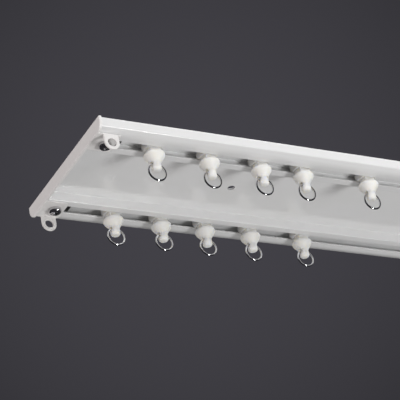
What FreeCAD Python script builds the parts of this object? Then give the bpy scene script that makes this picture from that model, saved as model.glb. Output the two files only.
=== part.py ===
import FreeCAD
import Part
import math
import os

# Double ceiling curtain track: an aluminium extrusion with two channels, closed by a
# moulded cap at each end, with five ringed gliders hanging in each channel.
# Millimetres. +X runs along the track, -Y is the near channel, +Z is up.
# The origin is the centre of the face that lies against the ceiling.

# Extrusion
LENGTH = 400.0
WIDTH = 100.0
HEIGHT = 8.3
WEB = 1.8
WALL = 1.2
LIP = 1.2
FASCIA_HEIGHT = 6.2
CROWN_RUN = 4.6
CROWN_ROUND = 11.0
OUTER_LIP = 10.05
SLOT_WIDTH = 7.5
INNER_LIP = 5.05
EDGE_ROUND = 0.5
LIP_ROUND = 0.25

# Holes for the ceiling screws, on the centre line
HOLE_RADIUS = 2.4
HOLE_FROM_END = 117.0
HOLE_CHAMFER = 0.8

# End caps
CAP_PLATE = 1.7
CAP_PROUD = 1.3
CAP_UNDER = 0.5
CAP_CORNER = 5.0
CAP_EDGE_ROUND = 0.7
TONGUE_LENGTH = 14.5
TONGUE_THICKNESS = 0.7
TONGUE_INSIDE = 7.4
TONGUE_OUTSIDE = 9.7
TONGUE_CORNER = 2.0
KEY_CLEARANCE = 0.15
KEY_SETBACK = 0.2
EYELET_FROM_END = 9.2
EYELET_WIDTH = 9.6
EYELET_THICKNESS = 1.2
EYELET_DROP = 5.1
EYELET_HOLE_RADIUS = 2.8

# Cap screws and the plates that they thread into
SCREW_FROM_END = 9.8
SCREW_RADIUS = 2.0
SCREW_LENGTH = 6.4
SCREW_CLEARANCE = 0.2
THREAD_CLEARANCE = 0.05
HEAD_RADIUS = 3.9
HEAD_RIM = 1.3
HEAD_HEIGHT = 3.0
HEAD_FLAT_RADIUS = 2.5
RECESS_ARM = 2.2
RECESS_SLOT = 0.9
RECESS_DEPTH = 1.7
PLATE_LAP = 2.45
PLATE_THICKNESS = 2.1
PLATE_FROM_CAP = 0.8
PLATE_PAST_TONGUE = 4.0
PLATE_CHAMFER = 1.0

# Gliders
SHOE_LENGTH = 10.4
SHOE_LAP = 2.45
SHOE_HEIGHT = 4.4
SHOE_CHAMFER = 1.4
RUNNING_GAP = 0.2
KEEL_CLEARANCE = 0.4
KEEL_INSET = 0.3
NECK_LENGTH = 7.0
FLANGE_BELOW_LIPS = 3.2
FLANGE_TOP_RADIUS = 6.1
FLANGE_RADIUS = 6.5
FLANGE_RIM = 0.9
BELL_HEIGHT = 5.0
SHOULDER_RADIUS = 5.7
SHOULDER_DROP = 1.9
BELL_FOOT_RADIUS = 3.7
STEM_TAPER = 1.2
STEM_RADIUS = 3.1
STEM_LENGTH = 6.0
STEM_ROUND = 1.7
EYE_BELOW_BELL = 1.4

# Rings
RING_RADIUS = 5.7
WIRE_RADIUS = 0.55
EYE_CLEARANCE = 0.35

# Flat sides that stand in for the small round forms that repeat
BELL_SIDES = 20
EYE_SIDES = 12
RING_SIDES = 20
WIRE_SIDES = 6
DOME_STEPS = 2

# Where the gliders stand at rest, from the outer face of the left cap
NEAR_GLIDERS = (41.9, 79.6, 116.2, 146.8, 195.6)
FAR_GLIDERS = (49.4, 83.3, 115.2, 149.0, 188.7)

V = FreeCAD.Vector
X = V(1, 0, 0)
Y = V(0, 1, 0)
Z = V(0, 0, 1)
LEFT_END = -LENGTH / 2
HALF_WIDTH = WIDTH / 2
SLOT_HALF = SLOT_WIDTH / 2
SLOT_Y = HALF_WIDTH - OUTER_LIP - SLOT_HALF
RECESS_HALF = SLOT_Y - SLOT_HALF - INNER_LIP
LIP_TOP = LIP - HEIGHT
SCREW_X = LEFT_END + SCREW_FROM_END
TONGUE_FACE = -HEIGHT - TONGUE_THICKNESS
TONGUE_END = LEFT_END + CAP_PLATE + TONGUE_LENGTH


def rounded_face(corners):
    """A flat face from (point, radius) corners: straight sides, with each corner rounded by its radius."""
    edges = []
    last_end = None
    first_start = None
    count = len(corners)
    for k in range(count):
        before = corners[k - 1][0]
        corner, radius = corners[k]
        after = corners[(k + 1) % count][0]
        if radius:
            back = (before - corner).normalize()
            ahead = (after - corner).normalize()
            half = back.getAngle(ahead) / 2
            start = corner + back * (radius / math.tan(half))
            end = corner + ahead * (radius / math.tan(half))
            middle = corner + (back + ahead).normalize() * (radius / math.sin(half) - radius)
        else:
            start = end = corner
        if last_end is None:
            first_start = start
        else:
            edges.append(Part.LineSegment(last_end, start).toShape())
        if radius:
            edges.append(Part.Arc(start, middle, end).toShape())
        last_end = end
    edges.append(Part.LineSegment(last_end, first_start).toShape())
    return Part.Face(Part.Wire(edges))


def box_between(low, high):
    """A box from its lowest to its highest corner."""
    size = high - low
    return Part.makeBox(size.x, size.y, size.z, low)


def turned(outline, sides):
    """A solid turned about the Z axis in flat steps, from (radius, height) pairs listed from top to bottom."""
    levels = []
    for radius, height in outline:
        angles = [2 * math.pi * (k + 0.5) / sides for k in range(sides)]
        levels.append([V(radius * math.cos(a), radius * math.sin(a), height) for a in angles])
    faces = [Part.Face(Part.makePolygon(level + level[:1])) for level in (levels[0], levels[-1])]
    for upper, lower in zip(levels, levels[1:]):
        for k in range(sides):
            corners = [upper[k - 1], upper[k], lower[k], lower[k - 1]]
            faces.append(Part.Face(Part.makePolygon(corners + corners[:1])))
    return Part.makeSolid(Part.makeShell(faces))


def polygon_across_x(centre, radius, sides):
    """A regular outline square to the X axis, whose flat sides stand the radius away from its centre."""
    points = []
    for k in range(sides + 1):
        angle = 2 * math.pi * (k + 0.5) / sides
        points.append(centre + V(0, math.cos(angle), math.sin(angle)) * (radius / math.cos(math.pi / sides)))
    return Part.makePolygon(points)


def section_half():
    """Corners of the extrusion's section on the +Y side, from the top centre round to the web's underside."""
    slope = (HEIGHT - FASCIA_HEIGHT) / CROWN_RUN
    stretch = math.hypot(1, slope)
    crown_inside = (HEIGHT - FASCIA_HEIGHT + LIP * (stretch - 1)) / slope
    wall_inside = -FASCIA_HEIGHT - WALL * slope + LIP * stretch
    return [
        (HALF_WIDTH, 0, EDGE_ROUND),
        (HALF_WIDTH, -FASCIA_HEIGHT, EDGE_ROUND),
        (HALF_WIDTH - CROWN_RUN, -HEIGHT, CROWN_ROUND),
        (SLOT_Y + SLOT_HALF, -HEIGHT, LIP_ROUND),
        (SLOT_Y + SLOT_HALF, LIP_TOP, LIP_ROUND),
        (HALF_WIDTH - crown_inside, LIP_TOP, 0),
        (HALF_WIDTH - WALL, wall_inside, 0),
        (HALF_WIDTH - WALL, -WEB, 0),
        (RECESS_HALF + WALL, -WEB, 0),
        (RECESS_HALF + WALL, LIP_TOP, 0),
        (SLOT_Y - SLOT_HALF, LIP_TOP, LIP_ROUND),
        (SLOT_Y - SLOT_HALF, -HEIGHT, LIP_ROUND),
        (RECESS_HALF, -HEIGHT, EDGE_ROUND),
        (RECESS_HALF, -WEB, EDGE_ROUND),
    ]


def track_profile():
    """The extrusion, cut to length between the caps, its screw holes chamfered on the ceiling side."""
    start = LEFT_END + CAP_PLATE
    half = section_half()
    corners = [(V(start, y, z), r) for y, z, r in half]
    corners += [(V(start, -y, z), r) for y, z, r in reversed(half)]
    bar = rounded_face(corners).extrude(X * (LENGTH - 2 * CAP_PLATE))
    for end in (-1, 1):
        centre = V(end * (LENGTH / 2 - HOLE_FROM_END), 0, -WEB)
        bar = bar.cut(Part.makeCylinder(HOLE_RADIUS, WEB, centre, Z))
        mouth = centre + Z * (WEB - HOLE_CHAMFER)
        bar = bar.cut(Part.makeCone(HOLE_RADIUS, HOLE_RADIUS + HOLE_CHAMFER, HOLE_CHAMFER, mouth, Z))
    return bar


def cap_tongue(side):
    """One tongue of the left cap, under the channel on the given side, with its key and hanging eyelet."""
    slot_y = side * SLOT_Y
    outer_y = slot_y + side * TONGUE_OUTSIDE
    inner_y = slot_y - side * TONGUE_INSIDE
    front = LEFT_END + CAP_EDGE_ROUND
    tongue = rounded_face([
        (V(front, inner_y, TONGUE_FACE), 0),
        (V(TONGUE_END, inner_y, TONGUE_FACE), TONGUE_CORNER),
        (V(TONGUE_END, outer_y, TONGUE_FACE), TONGUE_CORNER),
        (V(front, outer_y, TONGUE_FACE), 0),
    ]).extrude(Z * TONGUE_THICKNESS)

    key_half = SLOT_HALF - KEY_CLEARANCE
    key = box_between(
        V(LEFT_END + CAP_PLATE, slot_y - key_half, -HEIGHT),
        V(TONGUE_END - TONGUE_CORNER, slot_y + key_half, LIP_TOP - KEY_SETBACK),
    )

    half = EYELET_WIDTH / 2
    eye = V(LEFT_END + EYELET_FROM_END, outer_y, TONGUE_FACE - EYELET_DROP)
    left = eye - X * half + Z * EYELET_DROP
    right = eye + X * half + Z * EYELET_DROP
    outline = Part.Wire([
        Part.LineSegment(right, left).toShape(),
        Part.LineSegment(left, eye - X * half).toShape(),
        Part.Arc(eye - X * half, eye - Z * half, eye + X * half).toShape(),
        Part.LineSegment(eye + X * half, right).toShape(),
    ])
    inward = Y * (-side * EYELET_THICKNESS)
    eyelet = Part.Face(outline).extrude(inward)
    eyelet = eyelet.cut(Part.makeCylinder(EYELET_HOLE_RADIUS, EYELET_THICKNESS, eye, inward))

    drill = Part.makeCylinder(
        SCREW_RADIUS + SCREW_CLEARANCE, HEIGHT, V(SCREW_X, slot_y, TONGUE_FACE), Z
    )
    return tongue.fuse([key, eyelet]).cut(drill)


def end_cap_left():
    """The left cap: a plate over the end of the extrusion, fused with its two tongues."""
    half = HALF_WIDTH + CAP_PROUD
    foot = -HEIGHT - CAP_UNDER
    plate = rounded_face([
        (V(LEFT_END, -half, 0), EDGE_ROUND),
        (V(LEFT_END, half, 0), EDGE_ROUND),
        (V(LEFT_END, half, foot), CAP_CORNER),
        (V(LEFT_END, -half, foot), CAP_CORNER),
    ]).extrude(X * CAP_PLATE)
    outer = [e for e in plate.Edges if e.BoundBox.XMax < LEFT_END + CAP_EDGE_ROUND / 2]
    plate = plate.makeChamfer(CAP_EDGE_ROUND / 2, outer)
    return plate.fuse([cap_tongue(-1), cap_tongue(1)]).removeSplitter()


def cap_screw():
    """A pan-head screw with a cross recess, its head's bearing face at the origin and its shank up +Z."""
    outline = Part.makePolygon([
        V(0, 0, -HEAD_HEIGHT),
        V(HEAD_FLAT_RADIUS, 0, -HEAD_HEIGHT),
        V(HEAD_RADIUS, 0, -HEAD_RIM),
        V(HEAD_RADIUS, 0, 0),
        V(SCREW_RADIUS, 0, 0),
        V(SCREW_RADIUS, 0, SCREW_LENGTH),
        V(0, 0, SCREW_LENGTH),
        V(0, 0, -HEAD_HEIGHT),
    ])
    screw = Part.Face(outline).revolve(V(0, 0, 0), Z, 360)
    arm = RECESS_ARM
    slot = RECESS_SLOT / 2
    floor = RECESS_DEPTH - HEAD_HEIGHT
    for long_x, long_y in ((arm, slot), (slot, arm)):
        screw = screw.cut(box_between(V(-long_x, -long_y, -HEAD_HEIGHT), V(long_x, long_y, floor)))
    return screw


def clamp_plate():
    """A tapped plate for the left end: it lies on the lips, its hole at the origin and its underside at z = 0."""
    start = LEFT_END + CAP_PLATE + PLATE_FROM_CAP - SCREW_X
    end = TONGUE_END + PLATE_PAST_TONGUE - SCREW_X
    half = SLOT_HALF + PLATE_LAP
    plate = box_between(V(start, -half, 0), V(end, half, PLATE_THICKNESS))
    upright = [e for e in plate.Edges if e.BoundBox.ZLength > PLATE_THICKNESS / 2]
    plate = plate.makeChamfer(PLATE_CHAMFER, upright)
    return plate.cut(Part.makeCylinder(SCREW_RADIUS + THREAD_CLEARANCE, PLATE_THICKNESS, V(0, 0, 0), Z))


def at_four_tongues(piece, height):
    """Copies of a left-end piece at the four screws, mirrored at the right end."""
    copies = []
    for side in (-1, 1):
        placed = piece.copy()
        placed.translate(V(SCREW_X, side * SLOT_Y, height))
        copies += [placed, placed.mirror(V(0, 0, 0), X)]
    return Part.makeCompound(copies)


def bell_foot():
    """Height of the bell's foot, where it starts to narrow into the stem."""
    return -HEIGHT - FLANGE_BELOW_LIPS - FLANGE_RIM - BELL_HEIGHT


def eye_height():
    return bell_foot() - EYE_BELOW_BELL


def wire_sag():
    """How far the ring's wire drops from the middle of the eye to its mouth, at the stem's surface."""
    return RING_RADIUS - math.sqrt(RING_RADIUS ** 2 - STEM_RADIUS ** 2)


def eye_radius():
    """The eye clears the bent wire at its middle and, where the wire crosses it aslant, at its mouths."""
    aslant = WIRE_RADIUS * RING_RADIUS / math.sqrt(RING_RADIUS ** 2 - STEM_RADIUS ** 2)
    return wire_sag() / 2 + aslant + EYE_CLEARANCE


def glider():
    """One moulded glider, centred on its slot at x = 0, y = 0."""
    shoe_foot = LIP_TOP + RUNNING_GAP
    half_length = SHOE_LENGTH / 2
    half_width = SLOT_HALF + SHOE_LAP
    shoe = box_between(
        V(-half_length, -half_width, shoe_foot), V(half_length, half_width, shoe_foot + SHOE_HEIGHT)
    )
    upright = [e for e in shoe.Edges if e.BoundBox.ZLength > SHOE_HEIGHT / 2]
    shoe = shoe.makeChamfer(SHOE_CHAMFER, upright)

    keel_half = SLOT_HALF - KEEL_CLEARANCE
    keel_foot = -HEIGHT + KEEL_INSET
    keel = box_between(V(-half_length, -keel_half, keel_foot), V(half_length, keel_half, shoe_foot))
    flange_top = -HEIGHT - FLANGE_BELOW_LIPS
    neck = box_between(
        V(-NECK_LENGTH / 2, -keel_half, flange_top), V(NECK_LENGTH / 2, keel_half, keel_foot)
    )

    foot = bell_foot()
    stem_foot = foot - STEM_LENGTH
    outline = [
        (FLANGE_TOP_RADIUS, flange_top),
        (FLANGE_RADIUS, flange_top - FLANGE_RIM),
        (SHOULDER_RADIUS, flange_top - FLANGE_RIM - SHOULDER_DROP),
        (BELL_FOOT_RADIUS, foot),
        (STEM_RADIUS, foot - STEM_TAPER),
    ]
    for step in range(DOME_STEPS + 1):
        angle = math.pi / 2 * step / DOME_STEPS
        radius = STEM_RADIUS - STEM_ROUND * (1 - math.cos(angle))
        outline.append((radius, stem_foot + STEM_ROUND * (1 - math.sin(angle))))
    bell = turned(outline, BELL_SIDES)
    eye = polygon_across_x(V(-BELL_FOOT_RADIUS, 0, eye_height()), eye_radius(), EYE_SIDES)
    bored = bell.cut(Part.Face(eye).extrude(X * 2 * BELL_FOOT_RADIUS))
    return bored.fuse([shoe, keel, neck]).removeSplitter()


def ring():
    """One wire ring, standing in the X-Z plane with its top wire centred in the eye of a glider at x = 0, y = 0."""
    centre = V(0, 0, eye_height() + wire_sag() / 2 - RING_RADIUS)
    turn = 2 * math.pi / RING_SIDES
    path_points = []
    for k in range(RING_SIDES):
        angle = turn * (k + 0.5)
        path_points.append(centre + V(math.sin(angle), 0, math.cos(angle)) * (RING_RADIUS / math.cos(turn / 2)))
    top = centre + Z * RING_RADIUS
    path = Part.makePolygon([top] + path_points + [top])
    section = polygon_across_x(top, WIRE_RADIUS, WIRE_SIDES)
    mitred = 1
    return Part.Wire(path).makePipeShell([section], True, False, mitred)


def write(name, shape):
    shape.exportStep(os.path.join("parts", name + ".step"))


def main():
    os.makedirs("parts", exist_ok=True)
    write("track_profile", track_profile())
    cap = end_cap_left()
    write("end_cap_left", cap)
    write("end_cap_right", cap.mirror(V(0, 0, 0), X))
    write("cap_screws", at_four_tongues(cap_screw(), TONGUE_FACE))
    write("clamp_plates", at_four_tongues(clamp_plate(), LIP_TOP))
    one_glider = glider()
    one_ring = ring()
    for row, side, places in (("near", -1, NEAR_GLIDERS), ("far", 1, FAR_GLIDERS)):
        for number, place in enumerate(places, 1):
            spot = V(LEFT_END + place, side * SLOT_Y, 0)
            for piece, shape in (("glider", one_glider), ("ring", one_ring)):
                placed = shape.copy()
                placed.translate(spot)
                write(f"{piece}_{row}_{number}", placed)


main()
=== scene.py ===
import math

import bmesh
import bpy
from mathutils import Matrix, Vector


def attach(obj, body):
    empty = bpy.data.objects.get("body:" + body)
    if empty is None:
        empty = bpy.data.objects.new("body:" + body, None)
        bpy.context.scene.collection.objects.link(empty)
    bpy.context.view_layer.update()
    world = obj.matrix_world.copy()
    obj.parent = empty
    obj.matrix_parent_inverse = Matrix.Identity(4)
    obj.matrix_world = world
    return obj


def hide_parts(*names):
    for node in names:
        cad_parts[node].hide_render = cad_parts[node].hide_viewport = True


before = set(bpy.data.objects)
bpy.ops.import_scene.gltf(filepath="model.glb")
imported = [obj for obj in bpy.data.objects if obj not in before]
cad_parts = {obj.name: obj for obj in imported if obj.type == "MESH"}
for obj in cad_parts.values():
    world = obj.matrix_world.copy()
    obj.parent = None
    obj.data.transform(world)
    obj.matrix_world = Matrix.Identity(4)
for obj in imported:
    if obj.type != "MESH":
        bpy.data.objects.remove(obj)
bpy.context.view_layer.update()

# A white double ceiling curtain track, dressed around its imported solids.
# Sizes are in millimetres, and those of the materials, the stage, the lamps and the camera in metres.
# +X runs along the track, -Y lies towards the near channel, and +Z points up into the ceiling.

scene = bpy.context.scene
scene.view_settings.view_transform = "Standard"
MM = 0.001
X_AXIS = 0
Z_AXIS = 2

# Extrusion
LENGTH = 400.0
WIDTH = 100.0
HEIGHT = 8.3
WEB = 1.8
WALL = 1.2
LIP = 1.2
FASCIA_HEIGHT = 6.2
CROWN_RUN = 4.6
CROWN_ROUND = 11.0
OUTER_LIP = 10.05
SLOT_WIDTH = 7.5
INNER_LIP = 5.05
EDGE_ROUND = 0.5
FASCIA_ROUND = 1.1
LIP_ROUND = 0.25
CAP_PLATE = 1.7
HOLE_RADIUS = 2.4
HOLE_FROM_END = 117.0
HOLE_CHAMFER = 0.8
DRILL_PAST = 1.0
RIGHT_END = LENGTH / 2
LEFT_END = -RIGHT_END
HALF_WIDTH = WIDTH / 2
SLOT_HALF = SLOT_WIDTH / 2
SLOT_Y = HALF_WIDTH - OUTER_LIP - SLOT_HALF
RECESS_HALF = SLOT_Y - SLOT_HALF - INNER_LIP
LIP_TOP = LIP - HEIGHT
HOLE_X = RIGHT_END - HOLE_FROM_END

# Cap screws, with the degrees that the one on each side in X and Y is turned
SCREW_FROM_END = 9.8
SCREW_TURNS = {(-1, -1): 84, (-1, 1): 5, (1, -1): 35, (1, 1): 62}
TONGUE_THICKNESS = 0.7
SHANK_RADIUS = 2.0
SHANK_LENGTH = 6.4
SHANK_CHAMFER = 0.4
HEAD_RADIUS = 3.9
HEAD_CHAMFER = 0.15
HEAD_RIM = 1.3
HEAD_HEIGHT = 3.0
HEAD_FLAT = 2.5
RECESS_DEPTH = 1.7
RECESS_LONG = 2.1
RECESS_HALF_WIDTH = 0.6
RECESS_EDGE = 0.5
RECESS_PAST = 0.5
LONG_TAPER = 0.5
WIDTH_TAPER = 0.7
FACE_SLACK = 0.01
SCREW_X = RIGHT_END - SCREW_FROM_END
TONGUE_FACE = -HEIGHT - TONGUE_THICKNESS

# Gliders and rings, with the gliders' places measured from the left end
SHOE_LENGTH = 10.4
SHOE_LAP = 2.45
SHOE_HEIGHT = 4.4
SHOE_CHAMFER = 1.4
SHOE_ROUND = 0.4
RUNNING_GAP = 0.2
KEEL_CLEARANCE = 0.4
KEEL_INSET = 0.3
KEEL_ROUND = 0.35
OVERLAP = 1.0
NECK_LENGTH = 7.0
FLANGE_BELOW_LIPS = 3.2
FLANGE_EDGE = 0.9
RIM_RADIUS = 6.48
RIM_DROP = 1.1
BELL_HEIGHT = 5.9
BELL_BLEND = 1.6
STEM_RADIUS = 3.1
STEM_LENGTH = 6.0
STEM_ROUND = 1.7
RING_RADIUS = 5.7
WIRE_RADIUS = 0.63
EYE_BELOW_BELL = 1.4
EYE_CLEARANCE = 0.37
EYE_REACH = 5.0
NEAR_GLIDERS = (41.9, 79.6, 116.2, 146.8, 195.6)
FAR_GLIDERS = (49.4, 83.3, 115.2, 149.0, 188.7)
SHOE_HALF = SHOE_LENGTH / 2
SHOE_SIDE = SLOT_HALF + SHOE_LAP
SHOE_FOOT = LIP_TOP + RUNNING_GAP
SHOE_TOP = SHOE_FOOT + SHOE_HEIGHT
KEEL_SIDE = SLOT_HALF - KEEL_CLEARANCE
KEEL_FOOT = -HEIGHT + KEEL_INSET
NECK_HALF = NECK_LENGTH / 2
FLANGE_TOP = -HEIGHT - FLANGE_BELOW_LIPS
RIM_Z = FLANGE_TOP - RIM_DROP
BELL_FOOT = FLANGE_TOP - BELL_HEIGHT
STEM_TOP = BELL_FOOT - BELL_BLEND
STEM_FOOT = BELL_FOOT - STEM_LENGTH
EYE_Z = BELL_FOOT - EYE_BELOW_BELL
WIRE_SAG = RING_RADIUS - math.sqrt(RING_RADIUS ** 2 - STEM_RADIUS ** 2)
EYE_RADIUS = WIRE_SAG / 2 + WIRE_RADIUS + EYE_CLEARANCE

# Softened edges of the caps and plates, and the angles in degrees that tell a flat face from a hard edge
CAP_SOFT = 0.18
PLATE_SOFT = 0.15
WELD = 0.001
FLAT_ANGLE = 1
HARD_ANGLE = 35
RECESS_ANGLE = 40

# Steps in the round forms
CORNER_STEPS = 8
BEVEL_STEPS = 3
DOME_STEPS = 8
FLANGE_STEPS = 5
BELL_STEPS = 16
TURNED_SIDES = 56
HOLE_SIDES = 48
EYE_SIDES = 36
RING_STEPS = 72
WIRE_SIDES = 16


# Meshes

def arc_points(corners, steps):
    """The outline of (y, z, radius) corners, each rounded by its radius in the given number of steps."""
    points = []
    count = len(corners)
    for k in range(count):
        before = Vector(corners[k - 1][:2])
        corner = Vector(corners[k][:2])
        after = Vector(corners[(k + 1) % count][:2])
        radius = corners[k][2]
        if not radius:
            points.append(corner)
            continue
        back = (before - corner).normalized()
        ahead = (after - corner).normalized()
        half = back.angle(ahead) / 2
        centre = corner + (back + ahead).normalized() * (radius / math.sin(half))
        start = corner + back * (radius / math.tan(half)) - centre
        end = corner + ahead * (radius / math.tan(half)) - centre
        turn = start.angle_signed(end)
        for s in range(steps + 1):
            rotation = Matrix.Rotation(-turn * s / steps, 2)
            points.append(centre + rotation @ start)
    return points


def dome(radius_from, z_from, radius_to, z_to, steps):
    """Points of a quarter ellipse that starts upright and ends level, without its first point."""
    points = []
    for k in range(1, steps + 1):
        a = math.pi / 2 * k / steps
        radius = radius_to + (radius_from - radius_to) * math.cos(a)
        points.append((radius, z_from + (z_to - z_from) * math.sin(a)))
    return points


def box_outline(half_x, half_y, chamfer=0.0):
    """The corners of a rectangle about the origin, each cut off in two points where a chamfer is given."""
    outline = []
    for side_x, side_y in ((-1, -1), (1, -1), (1, 1), (-1, 1)):
        near_x = (side_x * (half_x - chamfer), side_y * half_y)
        near_y = (side_x * half_x, side_y * (half_y - chamfer))
        corner = [near_x, near_y] if side_x == -side_y else [near_y, near_x]
        outline += corner if chamfer else corner[:1]
    return outline


def new_object(name, bm):
    """An object named so, from a bmesh in millimetres, with its mesh in metres."""
    bmesh.ops.recalc_face_normals(bm, faces=bm.faces)
    mesh = bpy.data.meshes.new(name)
    bm.to_mesh(mesh)
    bm.free()
    mesh.transform(Matrix.Scale(MM, 4))
    piece = bpy.data.objects.new(name, mesh)
    scene.collection.objects.link(piece)
    return piece


def in_millimetres(mesh):
    """A bmesh in millimetres, from a mesh in metres."""
    bm = bmesh.new()
    bm.from_mesh(mesh)
    bmesh.ops.scale(bm, vec=(1 / MM, 1 / MM, 1 / MM), verts=bm.verts)
    return bm


def add_prism(bm, outline, low, high, axis):
    """A prism on an outline of (u, v) points, from low to high along the axis, as faces with ends first."""
    def place(u, v, w):
        spot = [u, v]
        spot.insert(axis, w)
        return Vector(spot)
    bottom = [bm.verts.new(place(p[0], p[1], low)) for p in outline]
    top = [bm.verts.new(place(p[0], p[1], high)) for p in outline]
    faces = [bm.faces.new(bottom), bm.faces.new(top)]
    for k in range(len(outline)):
        faces.append(bm.faces.new((bottom[k - 1], bottom[k], top[k], top[k - 1])))
    return faces


def rounded_block(half_x, half_y, low, high, radius, chamfer=0.0):
    """An upright block with rounded edges, and with chamfered corners where given, as a bmesh."""
    bm = bmesh.new()
    add_prism(bm, box_outline(half_x, half_y, chamfer), low, high, Z_AXIS)
    bmesh.ops.recalc_face_normals(bm, faces=bm.faces)
    bmesh.ops.bevel(bm, geom=bm.edges[:], offset=radius, segments=BEVEL_STEPS, profile=0.5, affect="EDGES")
    return bm


def lathe(outline, sides):
    """A body turned about the Z axis from (radius, height) points, closed at both ends, as a bmesh."""
    bm = bmesh.new()
    angles = [2 * math.pi * k / sides for k in range(sides)]
    rings = []
    for radius, height in outline:
        if radius == 0:
            rings.append([bm.verts.new((0, 0, height))])
            continue
        spots = [(radius * math.cos(a), radius * math.sin(a), height) for a in angles]
        rings.append([bm.verts.new(spot) for spot in spots])
    for upper, lower in zip(rings, rings[1:]):
        for k in range(sides):
            above = [upper[k - 1], upper[k]] if len(upper) > 1 else upper
            below = [lower[k], lower[k - 1]] if len(lower) > 1 else lower
            bm.faces.new(above + below)
    return bm


def round_bore(radius, end_radius, start, end, sides):
    """A closed round bar from start to end, to cut with, as a bmesh."""
    bm = bmesh.new()
    along = end - start
    turn = Vector((0, 0, 1)).rotation_difference(along).to_matrix().to_4x4()
    place = Matrix.Translation((start + end) / 2) @ turn
    bmesh.ops.create_cone(bm, cap_ends=True, segments=sides, radius1=radius, radius2=end_radius,
                          depth=along.length, matrix=place)
    return bm


def combined(piece, others, operation):
    """The piece after each of the other bodies is joined to it or cut from it."""
    for other in others:
        tool = new_object("tool", other)
        modifier = piece.modifiers.new("combine", "BOOLEAN")
        modifier.operation = operation
        modifier.solver = "EXACT"
        modifier.object = tool
        evaluated = piece.evaluated_get(bpy.context.evaluated_depsgraph_get())
        mesh = bpy.data.meshes.new_from_object(evaluated)
        piece.modifiers.clear()
        old = piece.data
        piece.data = mesh
        bpy.data.meshes.remove(old)
        bpy.data.meshes.remove(tool.data)
    piece.data.name = piece.name
    return piece


def hard_edges(bm, degrees):
    """The edges at which two faces meet at more than the angle."""
    limit = math.radians(degrees)
    return [e for e in bm.edges if len(e.link_faces) == 2 and e.calc_face_angle() > limit]


def smooth(piece, degrees):
    """Smooth shading over the rounds, with sharp edges left where faces meet at more than the angle."""
    for polygon in piece.data.polygons:
        polygon.use_smooth = True
    piece.data.set_sharp_from_angle(angle=math.radians(degrees))
    weighted = piece.modifiers.new("weighted normals", "WEIGHTED_NORMAL")
    weighted.keep_sharp = True
    weighted.weight = 60
    return piece


def softened(node, name, width):
    """A copy of a solid with its flat faces made whole and its hard edges rounded by the width."""
    bm = in_millimetres(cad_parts[node].data)
    bmesh.ops.remove_doubles(bm, verts=bm.verts, dist=WELD)
    bmesh.ops.dissolve_limit(bm, angle_limit=math.radians(FLAT_ANGLE), verts=bm.verts, edges=bm.edges,
                             use_dissolve_boundaries=False)
    bmesh.ops.bevel(bm, geom=hard_edges(bm, HARD_ANGLE), offset=width, segments=BEVEL_STEPS, profile=0.5,
                    affect="EDGES", clamp_overlap=True, loop_slide=True, miter_outer="ARC")
    return smooth(new_object(name, bm), degrees=40)


# Materials

# Sockets of a mix node for colours
MIX_FACTOR = 0
MIX_FIRST = 6
MIX_SECOND = 7
MIX_RESULT = 2


def add_node(tree, kind, **values):
    """A new node in the tree, with the given properties."""
    node = tree.nodes.new(kind)
    for key, value in values.items():
        setattr(node, key, value)
    return node


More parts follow.
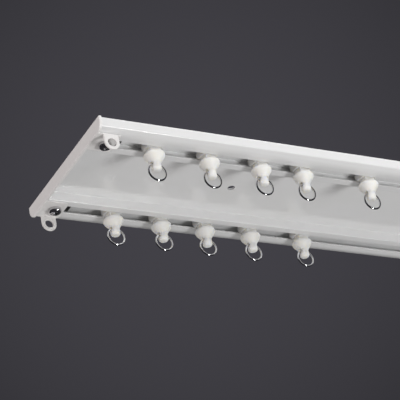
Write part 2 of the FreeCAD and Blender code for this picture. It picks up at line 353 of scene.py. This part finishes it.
class Surface:
    """A node material that is built up in steps on one principled shader."""

    def __init__(self, name, color, roughness, metallic=0.0):
        self.material = bpy.data.materials.new(name)
        self.material.use_nodes = True
        self.tree = self.material.node_tree
        self.shader = self.tree.nodes["Principled BSDF"]
        self.shader.inputs["Base Color"].default_value = (*color, 1)
        self.shader.inputs["Roughness"].default_value = roughness
        self.shader.inputs["Metallic"].default_value = metallic
        self.color = color
        self.coords = self.add("ShaderNodeTexCoord").outputs["Object"]

    def add(self, kind, **values):
        return add_node(self.tree, kind, **values)

    def link(self, source, target):
        self.tree.links.new(source, target)

    def vector(self, operation, value, other=(0, 0, 0)):
        """The value after one step of vector arithmetic with a fixed vector."""
        node = self.add("ShaderNodeVectorMath", operation=operation)
        self.link(value, node.inputs[0])
        node.inputs[1].default_value = other
        return node.outputs[0]

    def scattered(self, amount):
        """Shifts the texture by a different amount on each object that shares this material."""
        info = self.add("ShaderNodeObjectInfo")
        shift = self.add("ShaderNodeVectorMath", operation="MULTIPLY_ADD")
        shift.inputs[1].default_value = (amount, amount, amount)
        self.link(info.outputs["Random"], shift.inputs[0])
        self.link(self.coords, shift.inputs[2])
        self.coords = shift.outputs[0]

    def noise(self, scale, detail, stretch=(1, 1, 1)):
        """A noise over the object, finer along an axis that has a larger stretch."""
        mapping = self.add("ShaderNodeMapping")
        mapping.inputs["Scale"].default_value = stretch
        self.link(self.coords, mapping.inputs["Vector"])
        texture = self.add("ShaderNodeTexNoise")
        texture.inputs["Scale"].default_value = scale
        texture.inputs["Detail"].default_value = detail
        self.link(mapping.outputs[0], texture.inputs["Vector"])
        return texture.outputs["Fac"]

    def spread(self, value, low, high, start=0.3, end=0.7):
        """The value's range from start to end, laid over low to high."""
        node = self.add("ShaderNodeMapRange")
        node.inputs["From Min"].default_value = start
        node.inputs["From Max"].default_value = end
        node.inputs["To Min"].default_value = low
        node.inputs["To Max"].default_value = high
        self.link(value, node.inputs["Value"])
        return node.outputs["Result"]

    def tinted(self, value, other):
        """Mixes the colour so far towards the other colour by the value."""
        mix = self.add("ShaderNodeMix", data_type="RGBA")
        socket = self.shader.inputs["Base Color"]
        if socket.is_linked:
            self.link(socket.links[0].from_socket, mix.inputs[MIX_FIRST])
        else:
            mix.inputs[MIX_FIRST].default_value = (*self.color, 1)
        mix.inputs[MIX_SECOND].default_value = (*other, 1)
        self.link(value, mix.inputs[MIX_FACTOR])
        self.link(mix.outputs[MIX_RESULT], socket)

    def mottled(self, other, scale, detail, stretch=(1, 1, 1), share=1.0):
        """Patches of the other colour, mixed in by up to the share."""
        self.tinted(self.spread(self.noise(scale, detail, stretch), 0.0, share), other)

    def edge_wear_and_highlight(self, other, width):
        """The other colour along the edges that are sharper than rounds of this width: painted highlights
        on the paint, plastic and nylon, edge wear on the dark steel.
        """
        rounded = self.add("ShaderNodeBevel", samples=4)
        rounded.inputs["Radius"].default_value = width
        flat = self.add("ShaderNodeNewGeometry")
        dot = self.add("ShaderNodeVectorMath", operation="DOT_PRODUCT")
        self.link(rounded.outputs[0], dot.inputs[0])
        self.link(flat.outputs["Normal"], dot.inputs[1])
        self.tinted(self.spread(dot.outputs["Value"], 1.0, 0.0, start=0.8, end=0.99), other)

    def rough(self, low, high, scale, detail):
        """A roughness that wanders from low to high over the surface."""
        value = self.spread(self.noise(scale, detail), low, high)
        self.link(value, self.shader.inputs["Roughness"])

    def bumped(self, strength, depth, scale, detail, stretch=(1, 1, 1)):
        """A fine relief, on top of what relief there is."""
        bump = self.add("ShaderNodeBump")
        bump.inputs["Strength"].default_value = strength
        bump.inputs["Distance"].default_value = depth
        socket = self.shader.inputs["Normal"]
        if socket.is_linked:
            self.link(socket.links[0].from_socket, bump.inputs["Normal"])
        self.link(self.noise(scale, detail, stretch), bump.inputs["Height"])
        self.link(bump.outputs[0], socket)


def bare_hole_walls(s):
    """Metal that shows through the paint of the surface in the walls of the ceiling-screw holes."""
    margin = 0.03
    metallic = 0.65
    from_hole = s.vector("SUBTRACT", s.vector("ABSOLUTE", s.coords), (MM * HOLE_X, 0, 0))
    level = s.vector("MULTIPLY", from_hole, (1, 1, 0))
    away = s.add("ShaderNodeVectorMath", operation="LENGTH")
    s.link(level, away.inputs[0])
    bare = s.add("ShaderNodeMath", operation="LESS_THAN")
    bare.inputs[1].default_value = MM * (HOLE_RADIUS + margin)
    s.link(away.outputs["Value"], bare.inputs[0])
    s.tinted(bare.outputs[0], (0.93, 0.93, 0.93))
    s.link(s.spread(bare.outputs[0], 0.0, metallic, start=0.0, end=1.0), s.shader.inputs["Metallic"])


def white_paint():
    """Gloss paint with faint lines along the extrusion, cut through to metal in the holes."""
    s = Surface("white_paint", (0.82, 0.82, 0.828), roughness=0.24)
    s.shader.inputs["IOR"].default_value = 1.5
    s.shader.inputs["Coat Weight"].default_value = 0.35
    s.shader.inputs["Coat Roughness"].default_value = 0.05
    s.mottled((0.795, 0.795, 0.79), scale=28, detail=4)
    s.mottled((0.805, 0.805, 0.805), scale=1.0, detail=2, stretch=(6, 900, 900), share=0.5)
    # Painted highlights: the edges are lightened, standing in for the light that the rounds catch.
    s.edge_wear_and_highlight((0.88, 0.88, 0.88), width=0.0004)
    s.rough(0.16, 0.24, scale=120, detail=4)
    s.bumped(0.04, depth=0.00005, scale=1.0, detail=2, stretch=(5, 1100, 1100))
    s.bumped(0.02, depth=0.00002, scale=2400, detail=2)
    bare_hole_walls(s)
    return s.material


def cap_plastic():
    """The matt white plastic of the end caps."""
    s = Surface("cap_plastic", (0.815, 0.80, 0.79), roughness=0.45)
    s.scattered(3.0)
    s.mottled((0.775, 0.76, 0.75), scale=60, detail=4)
    # Painted highlights: the cap's edges are lightened, standing in for the light that they catch.
    s.edge_wear_and_highlight((0.88, 0.87, 0.86), width=0.0004)
    s.rough(0.38, 0.54, scale=300, detail=4)
    s.bumped(0.12, depth=0.00004, scale=2600, detail=3)
    return s.material


def nylon():
    """The milky nylon of the gliders, which light enters."""
    s = Surface("nylon", (0.84, 0.835, 0.805), roughness=0.5)
    s.scattered(5.0)
    s.shader.inputs["IOR"].default_value = 1.53
    s.shader.inputs["Specular IOR Level"].default_value = 0.35
    s.shader.inputs["Subsurface Weight"].default_value = 0.85
    s.shader.inputs["Subsurface Radius"].default_value = (1.0, 0.94, 0.8)
    s.shader.inputs["Subsurface Scale"].default_value = 0.0055
    s.mottled((0.81, 0.80, 0.765), scale=160, detail=4)
    # Painted highlights: the glider's edges are lightened, standing in for the light that they catch.
    s.edge_wear_and_highlight((0.90, 0.895, 0.87), width=0.0003)
    s.rough(0.44, 0.58, scale=500, detail=3)
    s.bumped(0.08, depth=0.00004, scale=1800, detail=3)
    return s.material


def chrome(name, color, other, low, high, dents, scatter=0.0):
    """Chromed metal with a roughness from low to high, patches of the other colour and faint dents."""
    s = Surface(name, color, roughness=low, metallic=1.0)
    s.scattered(scatter)
    s.mottled(other, scale=420, detail=4)
    s.rough(low, high, scale=700, detail=5)
    s.bumped(dents, depth=0.00002, scale=1500, detail=4, stretch=(1, 1, 6))
    return s.material


def black_steel():
    """The dark oxidised steel of the clamp plates."""
    s = Surface("black_steel", (0.045, 0.044, 0.042), roughness=0.45, metallic=0.6)
    cells = s.add("ShaderNodeTexVoronoi")
    cells.inputs["Scale"].default_value = 500
    s.link(s.coords, cells.inputs["Vector"])
    s.tinted(s.spread(cells.outputs["Distance"], 0.0, 1.0, start=0.1, end=0.8), (0.03, 0.03, 0.028))
    s.edge_wear_and_highlight((0.10, 0.10, 0.095), width=0.0003)
    s.rough(0.38, 0.58, scale=260, detail=4)
    s.bumped(0.1, depth=0.00003, scale=1400, detail=3)
    return s.material


def floor_paint():
    """The plain pale paint of the floor."""
    s = Surface("pale_floor", (0.70, 0.70, 0.69), roughness=0.6)
    s.mottled((0.67, 0.67, 0.66), scale=1.5, detail=4)
    s.bumped(0.05, depth=0.0005, scale=60, detail=3)
    return s.material


PAINT = white_paint()
CAP = cap_plastic()
NYLON = nylon()
RING = chrome("ring_chrome", (0.78, 0.78, 0.79), (0.69, 0.69, 0.71), 0.03, 0.07, dents=0.012, scatter=4.0)
SCREW = chrome("screw_chrome", (0.68, 0.67, 0.68), (0.56, 0.55, 0.57), 0.16, 0.28, dents=0.05)
STEEL = black_steel()


def dress(piece, material, slot, body, *nodes):
    """Gives a piece its material and lets it ride for the nodes that it stands for; the slot is not used.
    """
    piece.data.materials.clear()
    piece.data.materials.append(material)
    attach(piece, body)
    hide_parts(*nodes)


# Pieces

def section_half():
    """Corners of the extrusion's section on the +Y side, from its top edge round to the web's underside."""
    slope = (HEIGHT - FASCIA_HEIGHT) / CROWN_RUN
    stretch = math.hypot(1, slope)
    crown_inside = (HEIGHT - FASCIA_HEIGHT + LIP * (stretch - 1)) / slope
    wall_inside = -FASCIA_HEIGHT - WALL * slope + LIP * stretch
    return [
        (HALF_WIDTH, 0, EDGE_ROUND),
        (HALF_WIDTH, -FASCIA_HEIGHT, FASCIA_ROUND),
        (HALF_WIDTH - CROWN_RUN, -HEIGHT, CROWN_ROUND),
        (SLOT_Y + SLOT_HALF, -HEIGHT, LIP_ROUND),
        (SLOT_Y + SLOT_HALF, LIP_TOP, LIP_ROUND),
        (HALF_WIDTH - crown_inside, LIP_TOP, 0),
        (HALF_WIDTH - WALL, wall_inside, 0),
        (HALF_WIDTH - WALL, -WEB, 0),
        (RECESS_HALF + WALL, -WEB, 0),
        (RECESS_HALF + WALL, LIP_TOP, 0),
        (SLOT_Y - SLOT_HALF, LIP_TOP, LIP_ROUND),
        (SLOT_Y - SLOT_HALF, -HEIGHT, LIP_ROUND),
        (RECESS_HALF, -HEIGHT, EDGE_ROUND),
        (RECESS_HALF, -WEB, EDGE_ROUND),
    ]


def track_profile():
    """The extrusion between the cap plates, with its two chamfered ceiling-screw holes."""
    half = section_half()
    corners = half + [(-y, z, r) for y, z, r in reversed(half)]
    bm = bmesh.new()
    outline = arc_points(corners, CORNER_STEPS)
    add_prism(bm, outline, LEFT_END + CAP_PLATE, RIGHT_END - CAP_PLATE, X_AXIS)
    piece = new_object("extrusion", bm)
    widest = HOLE_RADIUS + HOLE_CHAMFER + DRILL_PAST
    drills = []
    for x in (-HOLE_X, HOLE_X):
        below = Vector((x, 0, -WEB - DRILL_PAST))
        chamfer_foot = Vector((x, 0, -HOLE_CHAMFER))
        above = Vector((x, 0, DRILL_PAST))
        drills.append(round_bore(HOLE_RADIUS, HOLE_RADIUS, below, above, HOLE_SIDES))
        drills.append(round_bore(HOLE_RADIUS, widest, chamfer_foot, above, HOLE_SIDES))
    return smooth(combined(piece, drills, "DIFFERENCE"), degrees=32)


def recess_arms():
    """The two crossing wedges that cut a screw's recess, as bmeshes."""
    arms = []
    for half_x, half_y in ((RECESS_LONG, RECESS_HALF_WIDTH), (RECESS_HALF_WIDTH, RECESS_LONG)):
        bm = bmesh.new()
        mouth = -HEAD_HEIGHT - RECESS_PAST
        foot = -HEAD_HEIGHT + RECESS_DEPTH
        faces = add_prism(bm, box_outline(half_x, half_y), mouth, foot, Z_AXIS)
        for vertex in faces[1].verts:
            vertex.co.x *= LONG_TAPER if half_x > half_y else WIDTH_TAPER
            vertex.co.y *= LONG_TAPER if half_y > half_x else WIDTH_TAPER
        arms.append(bm)
    return arms


def one_screw():
    """A pan-head screw about the Z axis with a cross recess, its head below z = 0, as a bmesh."""
    outline = [
        (0, SHANK_LENGTH),
        (SHANK_RADIUS - SHANK_CHAMFER, SHANK_LENGTH),
        (SHANK_RADIUS, SHANK_LENGTH - SHANK_CHAMFER),
        (SHANK_RADIUS, 0.0),
        (HEAD_RADIUS - HEAD_CHAMFER, 0.0),
        (HEAD_RADIUS, -HEAD_CHAMFER),
        (HEAD_RADIUS, -HEAD_RIM),
    ]
    outline += dome(HEAD_RADIUS, -HEAD_RIM, HEAD_FLAT, -HEAD_HEIGHT, DOME_STEPS)
    outline.append((0, -HEAD_HEIGHT))
    screw = new_object("screw", lathe(outline, TURNED_SIDES))
    combined(screw, recess_arms(), "DIFFERENCE")
    bm = in_millimetres(screw.data)
    bpy.data.objects.remove(screw)
    face = -HEAD_HEIGHT + FACE_SLACK
    rim = [e for e in hard_edges(bm, RECESS_ANGLE) if all(v.co.z < face for v in e.verts)]
    bmesh.ops.bevel(bm, geom=rim, offset=RECESS_EDGE, segments=1, profile=0.5, affect="EDGES",
                    clamp_overlap=True)
    return bm


def cap_screws():
    """The four screws, each with its head on a tongue and its shank up in the clamp plate."""
    one = one_screw()
    four = bmesh.new()
    for (side_x, side_y), degrees in SCREW_TURNS.items():
        mesh = bpy.data.meshes.new("one screw")
        one.to_mesh(mesh)
        place = Matrix.Translation((side_x * SCREW_X, side_y * SLOT_Y, TONGUE_FACE))
        mesh.transform(place @ Matrix.Rotation(math.radians(degrees), 4, "Z"))
        four.from_mesh(mesh)
        bpy.data.meshes.remove(mesh)
    one.free()
    return smooth(new_object("cap_screws_domed", four), degrees=35)


def bell_outline():
    """(radius, height) points of a glider's bell and stem, from the top of its flange down to its foot."""
    flange = dome(RIM_RADIUS, RIM_Z, RIM_RADIUS - FLANGE_EDGE, FLANGE_TOP, FLANGE_STEPS)
    outline = [(0, FLANGE_TOP)] + flange[::-1]
    for k in range(BELL_STEPS + 1):
        t = k / BELL_STEPS
        narrowing = t * t * (3 - 2 * t)
        radius = RIM_RADIUS + (STEM_RADIUS - RIM_RADIUS) * narrowing
        outline.append((radius, RIM_Z + (STEM_TOP - RIM_Z) * t))
    round_top = STEM_FOOT + STEM_ROUND
    outline.append((STEM_RADIUS, round_top))
    outline += dome(STEM_RADIUS, round_top, STEM_RADIUS - STEM_ROUND, STEM_FOOT, DOME_STEPS)
    return outline + [(0, STEM_FOOT)]


def glider_mesh():
    """One glider about x = 0, y = 0: a shoe and keel, and a bell that narrows into a stem with an eye."""
    bell = new_object("glider", lathe(bell_outline(), TURNED_SIDES))
    shoe = rounded_block(SHOE_HALF, SHOE_SIDE, SHOE_FOOT, SHOE_TOP, SHOE_ROUND, SHOE_CHAMFER)
    keel = rounded_block(SHOE_HALF, KEEL_SIDE, KEEL_FOOT, SHOE_FOOT + OVERLAP, KEEL_ROUND)
    neck = rounded_block(NECK_HALF, KEEL_SIDE, FLANGE_TOP - OVERLAP, KEEL_FOOT + OVERLAP, KEEL_ROUND)
    combined(bell, [shoe, keel, neck], "UNION")
    eye_ends = Vector((-EYE_REACH, 0, EYE_Z)), Vector((EYE_REACH, 0, EYE_Z))
    eye = round_bore(EYE_RADIUS, EYE_RADIUS, *eye_ends, EYE_SIDES)
    return smooth(combined(bell, [eye], "DIFFERENCE"), degrees=38)


def ring_mesh():
    """One wire ring that hangs in the eye of a glider at x = 0, y = 0."""
    middle = Vector((0, 0, EYE_Z + WIRE_SAG / 2 - RING_RADIUS))
    sideways = Vector((0, 1, 0))
    bm = bmesh.new()
    loops = []
    for k in range(RING_STEPS):
        a = 2 * math.pi * k / RING_STEPS
        out = Vector((math.sin(a), 0, math.cos(a)))
        loop = []
        for j in range(WIRE_SIDES):
            b = 2 * math.pi * j / WIRE_SIDES
            from_wire = (out * math.cos(b) + sideways * math.sin(b)) * WIRE_RADIUS
            loop.append(bm.verts.new(middle + out * RING_RADIUS + from_wire))
        loops.append(loop)
    for k in range(RING_STEPS):
        for j in range(WIRE_SIDES):
            bm.faces.new((loops[k - 1][j - 1], loops[k - 1][j], loops[k][j], loops[k][j - 1]))
    return smooth(new_object("ring", bm), degrees=60)


dress(track_profile(), PAINT, "white_paint", "track", "track_profile")
for cap in ("end_cap_left", "end_cap_right"):
    dress(softened(cap, f"{cap}_soft", CAP_SOFT), CAP, "cap_plastic", "track", cap)
dress(cap_screws(), SCREW, "screw_chrome", "track", "cap_screws")
plates = softened("clamp_plates", "clamp_plates_soft", PLATE_SOFT)
dress(plates, STEEL, "black_steel", "track", "clamp_plates")

glider = glider_mesh()
ring = ring_mesh()
HANGING = (("glider", glider, NYLON, "nylon"), ("ring", ring, RING, "ring_chrome"))
for row, side, places in (("near", -1, NEAR_GLIDERS), ("far", 1, FAR_GLIDERS)):
    for number, place in enumerate(places, 1):
        for kind, source, material, slot in HANGING:
            node = f"{kind}_{row}_{number}"
            piece = source.copy()
            piece.data = source.data.copy()
            piece.name = f"{node}_round"
            piece.data.name = piece.name
            piece.location = (MM * (LEFT_END + place), MM * side * SLOT_Y, 0)
            scene.collection.objects.link(piece)
            dress(piece, material, slot, node, node)
bpy.data.objects.remove(glider)
bpy.data.objects.remove(ring)


# Stage, lamps and camera

# The camera's place and axes, its focal length in pixels of the photo, and its sensor in millimetres
CAMERA_PLACE = Vector((-0.65178, -0.80466, -0.5941))
RIGHT = Vector((0.8698, -0.4609, -0.1760))
DOWN = Vector((0.1111, 0.5306, -0.8403))
FORWARD = Vector((0.4807, 0.7114, 0.5127))
FOCAL_PIXELS = 1825.5
PHOTO_PIXELS = 400
SENSOR = 36.0
CLIP_START = 0.01

# The floor and what the lamps look at
FLOOR_Z = -1.4
FLOOR_HALF = 40.0
AIM = Vector((-0.05, 0.0, -0.01))
PLAIN = (1.0, 1.0, 1.0)
ROSE = (1.0, 0.92, 0.925)

# The even light all round, and the dark backdrop with its glow, which fades out at the cosine GLOW_EDGE
AMBIENT = (0.335, 0.335, 0.335)
BACKDROP = (0.031, 0.030, 0.035)
GLOW = (0.056, 0.054, 0.064)
GLOW_EDGE = 0.984
GLOW_LEFT = 0.005
GLOW_UP = 0.004


def pale_floor():
    """The floor, far below the track, which the gloss doesn't mirror."""
    bm = bmesh.new()
    bmesh.ops.create_grid(bm, x_segments=2, y_segments=2, size=FLOOR_HALF / MM)
    floor = new_object("floor", bm)
    floor.location.z = FLOOR_Z
    floor.data.materials.append(floor_paint())
    floor.visible_glossy = False


def softbox(name, toward, distance, size, power, color=PLAIN, mirrored=True):
    """A square area lamp that stands off in the given direction and looks at the track."""
    lamp = bpy.data.lights.new(name, "AREA")
    lamp.shape = "SQUARE"
    lamp.size = size
    lamp.energy = power
    lamp.color = color
    stand = bpy.data.objects.new(name, lamp)
    direction = Vector(toward).normalized()
    stand.location = AIM + direction * distance
    stand.rotation_euler = direction.to_track_quat("Z", "Y").to_euler()
    stand.visible_glossy = mirrored
    scene.collection.objects.link(stand)


def studio_world():
    """An even grey light, with a dark glowing backdrop in its place for the camera, gloss and glass."""
    world = bpy.data.worlds.new("studio")
    world.use_nodes = True
    tree = world.node_tree
    link = tree.links.new
    gaze = add_node(tree, "ShaderNodeTexCoord")
    toward = add_node(tree, "ShaderNodeVectorMath", operation="DOT_PRODUCT")
    toward.inputs[1].default_value = (FORWARD - RIGHT * GLOW_LEFT - DOWN * GLOW_UP).normalized()
    link(gaze.outputs["Generated"], toward.inputs[0])
    glow = add_node(tree, "ShaderNodeMapRange")
    glow.inputs["From Min"].default_value = GLOW_EDGE
    glow.inputs["From Max"].default_value = 1.0
    link(toward.outputs["Value"], glow.inputs["Value"])
    backdrop = add_node(tree, "ShaderNodeMix", data_type="RGBA")
    backdrop.inputs[MIX_FIRST].default_value = (*BACKDROP, 1)
    backdrop.inputs[MIX_SECOND].default_value = (*GLOW, 1)
    link(glow.outputs["Result"], backdrop.inputs[MIX_FACTOR])
    seen = tree.nodes["Background"]
    link(backdrop.outputs[MIX_RESULT], seen.inputs["Color"])
    ambient = add_node(tree, "ShaderNodeBackground")
    ambient.inputs["Color"].default_value = (*AMBIENT, 1)
    path = add_node(tree, "ShaderNodeLightPath")
    sees = path.outputs["Is Camera Ray"]
    for ray in ("Is Glossy Ray", "Is Transmission Ray"):
        either = add_node(tree, "ShaderNodeMath", operation="MAXIMUM")
        link(sees, either.inputs[0])
        link(path.outputs[ray], either.inputs[1])
        sees = either.outputs[0]
    pick = add_node(tree, "ShaderNodeMixShader")
    link(sees, pick.inputs[0])
    link(ambient.outputs[0], pick.inputs[1])
    link(seen.outputs[0], pick.inputs[2])
    link(pick.outputs[0], tree.nodes["World Output"].inputs["Surface"])
    return world


def photo_camera():
    """A camera that stands and looks as the photo's did."""
    camera = bpy.data.cameras.new("camera")
    camera.sensor_width = SENSOR
    camera.lens = SENSOR * FOCAL_PIXELS / PHOTO_PIXELS
    camera.clip_start = CLIP_START
    viewer = bpy.data.objects.new("camera", camera)
    turn = Matrix((RIGHT, -DOWN, -FORWARD)).transposed().to_4x4()
    viewer.matrix_world = Matrix.Translation(CAMERA_PLACE) @ turn
    scene.collection.objects.link(viewer)
    return viewer


pale_floor()
softbox("key", (0.30, -0.72, -0.62), distance=1.3, size=0.28, power=7.2)
softbox("front", (0.0, -0.96, 0.28), distance=1.2, size=0.6, power=5.3, mirrored=False)
softbox("rim", (0.45, -0.25, 0.86), distance=1.2, size=0.4, power=6.0)
softbox("end", (-0.985, -0.12, -0.12), distance=1.3, size=0.9, power=6.2, color=ROSE, mirrored=False)
softbox("back", (0.25, 0.87, 0.42), distance=1.3, size=0.9, power=6.0, mirrored=False)
scene.world = studio_world()
scene.camera = photo_camera()
